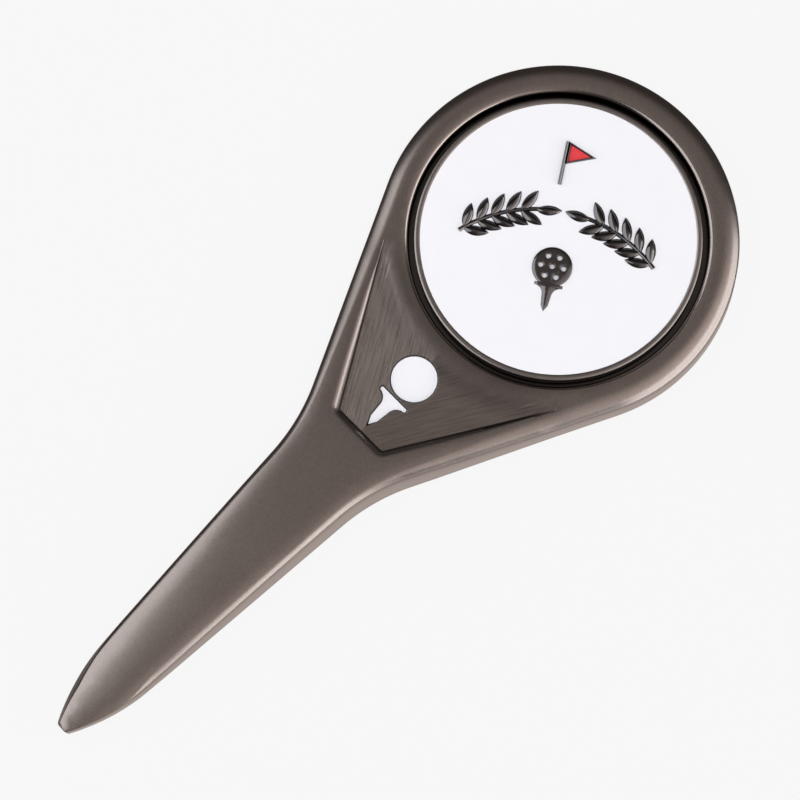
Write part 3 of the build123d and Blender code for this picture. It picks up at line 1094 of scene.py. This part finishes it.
def body_metal():
    """Satin gunmetal plating, brushed along the recess sides on its floor, with painted shade in
    hollows.
    """
    nodes = Nodes("satin_gunmetal")
    place = nodes.place()
    grain = nodes.noise(place, 4.5, 4.0, 0.7)
    cloud = nodes.noise(place, 0.3, 3.0)
    brushed = nodes.add("ShaderNodeAttribute", attribute_name="brushed").outputs["Fac"]
    painted_corner_shade = nodes.add("ShaderNodeAttribute", attribute_name="painted_corner_shade").outputs["Fac"]
    strokes = nodes.strokes(place, (0.3, 6.0, 1.0))
    scores = nodes.step(nodes.strokes(place, (0.12, 3.2, 1.0)), 0.62, 0.1)
    tone = nodes.blend(cloud, (0.325, 0.29, 0.275, 1), (0.375, 0.337, 0.32, 1))
    worn = nodes.blend(strokes, (0.15, 0.133, 0.125, 1), (0.52, 0.475, 0.45, 1))
    scored = nodes.blend(scores, worn, (0.6, 0.55, 0.52, 1))
    grained = nodes.blend(grain, nodes.shaded(tone, 0.7), nodes.shaded(tone, 1.15))
    plated = nodes.blend(brushed, grained, scored)
    # shade painted into the hollow between the pocket and the recess
    hollow = nodes.math("MULTIPLY", nodes.hollow_shade_mask(place), HOLLOW_SHADE)
    shaded = nodes.shaded(plated, nodes.math("SUBTRACT", 1.0, hollow))
    # shade painted round the inlay cells and along the foot of the recess wall
    outer = nodes.blend(painted_corner_shade, shaded, (0.045, 0.042, 0.04, 1))
    # shade painted down inside the marker pocket
    colour = nodes.blend(nodes.in_pocket(place, *POCKET_PAINTED_SHADE), outer, (0.09, 0.084, 0.081, 1))
    satin = nodes.span(grain, 0.25, 0.36)
    scratched = nodes.span(strokes, 0.18, 0.4)
    rough = nodes.add("ShaderNodeMix", {0: brushed, 2: satin, 3: scratched}).outputs[0]
    rubbed = nodes.in_pocket(place, *POCKET_RUBBED)
    rough = nodes.add("ShaderNodeMix", {0: rubbed, 2: rough, 3: RUBBED_ROUGHNESS}).outputs[0]
    lift = nodes.math("MULTIPLY", nodes.math("ADD", strokes, scores), brushed)
    height = nodes.math("MULTIPLY_ADD", lift, 0.6, nodes.math("MULTIPLY", grain, 0.2))
    nodes.set(Base_Color=colour, Metallic=1.0, Roughness=rough, Normal=nodes.bump(height, 0.02, 0.7))
    nodes.set(Anisotropic=nodes.math("MULTIPLY", brushed, 0.85), Tangent=nodes.across_strokes(place))
    return nodes.material


def marker_metal():
    """Polished black nickel plating, paler and satin on the rim."""
    nodes = Nodes("black_nickel")
    place = nodes.place()
    cloud = nodes.noise(place, 1.2, 3.0)
    relief = nodes.blend(cloud, (0.13, 0.127, 0.131, 1), (0.18, 0.174, 0.176, 1))
    rim = nodes.blend(cloud, (0.29, 0.27, 0.26, 1), (0.36, 0.335, 0.325, 1))
    rim_start = MARKER_RADIUS - MARKER_RIM_WIDTH - MARKER_RIM_FADE
    on_rim = nodes.step(nodes.radius(place), rim_start, MARKER_RIM_FADE)
    gloss = nodes.span(cloud, 0.08, 0.15)
    satin = nodes.span(cloud, 0.28, 0.36)
    nodes.set(
        Base_Color=nodes.blend(on_rim, relief, rim),
        Metallic=1.0,
        Roughness=nodes.add("ShaderNodeMix", {0: on_rim, 2: gloss, 3: satin}).outputs[0],
        Normal=nodes.bump(nodes.noise(place, 3.0, 2.0), 0.008, 0.5),
    )
    return nodes.material


def enamel(name, low, high):
    """Glossy enamel with a faint mottle and a slightly uneven surface."""
    nodes = Nodes(name)
    place = nodes.place()
    cloud = nodes.noise(place, 0.5, 3.0)
    nodes.set(
        Base_Color=nodes.blend(cloud, low, high),
        Roughness=nodes.span(nodes.noise(place, 2.0, 2.0), 0.16, 0.26),
        Coat_Weight=0.4,
        Coat_Roughness=0.1,
        Normal=nodes.bump(nodes.noise(place, 0.7, 1.0), 0.03, 0.35),
    )
    return nodes.material


def magnet_metal():
    """Bright nickel on the magnet, with faint tumbling marks."""
    nodes = Nodes("nickel_plating")
    place = nodes.place()
    specks = nodes.noise(place, 6.0, 4.0, 0.7)
    nodes.set(
        Base_Color=nodes.blend(specks, (0.52, 0.5, 0.46, 1), (0.66, 0.64, 0.6, 1)),
        Metallic=1.0,
        Roughness=nodes.span(specks, 0.2, 0.34),
        Normal=nodes.bump(specks, 0.01, 0.4),
    )
    return nodes.material


def glue():
    """Cured amber adhesive."""
    nodes = Nodes("cured_adhesive")
    place = nodes.place()
    cloud = nodes.noise(place, 2.5, 3.0)
    nodes.set(
        Base_Color=nodes.blend(cloud, (0.45, 0.36, 0.2, 1), (0.62, 0.53, 0.34, 1)),
        Roughness=nodes.span(cloud, 0.25, 0.45),
        Normal=nodes.bump(cloud, 0.03, 0.5),
    )
    return nodes.material


def floor_surface():
    """Pale paper sweep."""
    nodes = Nodes("pale_floor")
    cloud = nodes.noise(nodes.place(), 0.02, 1.0)
    tint = nodes.blend(cloud, (0.03, 0.03, 0.03, 1), (0.035, 0.035, 0.035, 1))
    nodes.set(Base_Color=tint, Roughness=1.0, Emission_Color=(1, 1, 1, 1), Emission_Strength=0.9)
    nodes.shader.inputs["Specular IOR Level"].default_value = 0
    return nodes.material


def paint(thing, material):
    """Give a piece one material."""
    thing.data.materials.clear()
    thing.data.materials.append(material)


def mark_body(body):
    """Mark where the plating is brushed, and where shade is painted: round the inlay and along the
    wall.
    """
    places = np.array([v.co for v in body.data.vertices]) / MM
    plan = places[:, :2]
    foot = recess_path()
    x, y = plan.T
    over = in_recess(plan, foot) | (distance_to(plan, foot) < ON_FOOT)
    near_front = places[:, 2] > BRUSHED_LOWEST_Z
    fade = faded(np.hypot(x, y), *BRUSHED_RADIUS) * faded(x, *BRUSHED_X)
    # shade painted round the inlay cell walls and along the foot of the recess wall
    at_wall = distance_to(plan, np.vstack(inlay_loops())) < DARK_CELL_REACH
    below_floor = places[:, 2] < HEAD_THICKNESS - RECESS_DEPTH - DARK_CELL_SINK
    cell_edge_shade = over & (at_wall | below_floor) & (x > DARK_CELL_START_X)
    line_width = np.where(y > DARK_FOOT_THIN_Y, DARK_FOOT_WIDTH, DARK_FOOT_THIN_WIDTH)
    foot_shade_line = (distance_to(plan, foot) < line_width) * faded(x, *DARK_FOOT_X)
    values = {
        "brushed": (over & near_front) * fade,
        "painted_corner_shade": np.maximum(cell_edge_shade, foot_shade_line) * near_front,
    }
    for name, value in values.items():
        body.data.attributes.new(name, "FLOAT", "POINT").data.foreach_set("value", value)


# ---- stage


def direction(azimuth, elevation):
    """Unit vector towards an azimuth and an elevation in degrees."""
    a, e = math.radians(azimuth), math.radians(elevation)
    return Vector((math.cos(e) * math.cos(a), math.cos(e) * math.sin(a), math.sin(e)))


def add_camera():
    """Camera above the front, with the prong pointing down to the left."""
    back = direction(CAMERA_AZIMUTH, CAMERA_ELEVATION)
    right = direction(CAMERA_RIGHT_AZIMUTH, 0)
    right = (right - back * right.dot(back)).normalized()
    up = back.cross(right)
    data = bpy.data.cameras.new("camera")
    data.lens = CAMERA_LENS
    data.sensor_width = CAMERA_SENSOR
    data.clip_start = 0.01
    data.clip_end = 10
    camera = bpy.data.objects.new("camera", data)
    camera.matrix_world = Matrix((right, up, back)).transposed().to_4x4()
    camera.location = (Vector(CAMERA_TARGET) + back * CAMERA_DISTANCE) * MM
    bpy.context.scene.collection.objects.link(camera)
    bpy.context.scene.camera = camera


def add_softbox(name, azimuth, elevation, size, radiance, tint, seen_in_metal):
    """Rectangular softbox that faces the middle of the tool."""
    target = Vector(CAMERA_TARGET) * MM
    data = bpy.data.lights.new(name, "AREA")
    data.shape = "RECTANGLE"
    data.size, data.size_y = size
    data.energy = radiance * math.pi * size[0] * size[1]
    data.color = tint
    lamp = bpy.data.objects.new(name, data)
    out = direction(azimuth, elevation)
    lamp.location = target + out * SOFTBOX_DISTANCE
    lamp.rotation_euler = out.to_track_quat("Z", "Y").to_euler()
    lamp.visible_glossy = seen_in_metal
    bpy.context.scene.collection.objects.link(lamp)


def add_world():
    """Dim studio: light overhead that grows towards the key, dark walls, pale light from below."""
    world = bpy.data.worlds.new("studio")
    bpy.context.scene.world = world
    world.use_nodes = True
    tree = world.node_tree

    def ramp(value, ends, low, high):
        """low before a range, high after it, and a smooth step between."""
        inputs = {0: value, 1: ends[0], 2: ends[1], 3: low, 4: high}
        return add_node(tree, "ShaderNodeMapRange", inputs, interpolation_type="SMOOTHSTEP").outputs[0]

    def vector_math(operation, inputs):
        return add_node(tree, "ShaderNodeVectorMath", inputs, operation=operation).outputs

    def towards(azimuth, way):
        """Nearness of a direction to an azimuth."""
        return vector_math("DOT_PRODUCT", {0: way, 1: direction(azimuth, 0)})["Value"]

    heading = add_node(tree, "ShaderNodeTexCoord", {}).outputs["Generated"]
    up = add_node(tree, "ShaderNodeSeparateXYZ", {0: heading}).outputs["Z"]
    flat = vector_math("MULTIPLY", {0: heading, 1: (1, 1, 0)})[0]
    level = vector_math("NORMALIZE", {0: flat})[0]
    below = ramp(up, WORLD_BELOW_RANGE, WORLD_BELOW, WORLD_HORIZON)
    above = ramp(up, WORLD_ABOVE_RANGE, 0, WORLD_ABOVE)
    glow = ramp(towards(WORLD_GLOW_AZIMUTH, heading), WORLD_GLOW_RANGE, 0, WORLD_GLOW)
    window = ramp(towards(WORLD_WINDOW_AZIMUTH, level), WORLD_WINDOW_RANGE, 0, 1)
    glow = add_node(tree, "ShaderNodeMath", {0: glow, 1: window}, operation="MULTIPLY").outputs[0]
    nearness = towards(WORLD_LOW_GLOW_AZIMUTH, heading)
    low_glow = ramp(nearness, WORLD_LOW_GLOW_RANGE, 0, WORLD_LOW_GLOW)
    high = ramp(up, WORLD_GLOW_HEIGHTS, 0, 1)
    low = ramp(up, WORLD_LOW_GLOW_HEIGHTS, 0, 1)
    total = below
    for value, share in ((above, 1), (glow, high), (low_glow, low)):
        inputs = {0: value, 1: share, 2: total}
        total = add_node(tree, "ShaderNodeMath", inputs, operation="MULTIPLY_ADD").outputs[0]
    tree.links.new(total, tree.nodes["Background"].inputs["Strength"])
    tree.nodes["Background"].inputs["Color"].default_value = WORLD_TINT


def add_stage():
    """Pale floor, the softboxes and a dim studio round them."""
    low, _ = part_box("tool_body")
    bpy.ops.mesh.primitive_plane_add(size=FLOOR_SIZE, location=(0, 0, low.z - FLOOR_GAP))
    floor = bpy.context.object
    floor.name = "floor"
    floor.visible_glossy = False
    paint(floor, floor_surface())
    add_world()
    for softbox in SOFTBOXES:
        add_softbox(*softbox)
    bpy.context.scene.view_settings.view_transform = "Standard"


# ---- the part


def build():
    """Make the pieces, give them their materials and put each on its body."""
    metal = body_metal()
    white = enamel("white_enamel", (0.9, 0.9, 0.94, 1), (0.93, 0.93, 0.97, 1))
    red = enamel("red_enamel", (0.76, 0.035, 0.045, 1), (0.86, 0.06, 0.07, 1))
    nickel = marker_metal()

    body = casting()
    mark_body(body)
    paint(body, metal)
    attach(body, "tool")
    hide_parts("tool_body")

    fill = inlay_fill()
    paint(fill, white)
    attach(fill, "tool")
    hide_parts("body_inlay_enamel")

    for made in (marker_disc(), marker_relief()):
        paint(made, nickel)
        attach(made, "marker")
        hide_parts("marker_base")

    nodes = frame["nodes"]
    paint(nodes["marker_enamel_white"], white)
    paint(nodes["marker_enamel_red"], red)
    paint(nodes["pocket_magnet"], magnet_metal())
    paint(nodes["magnet_adhesive"], glue())


build()
add_stage()
add_camera()
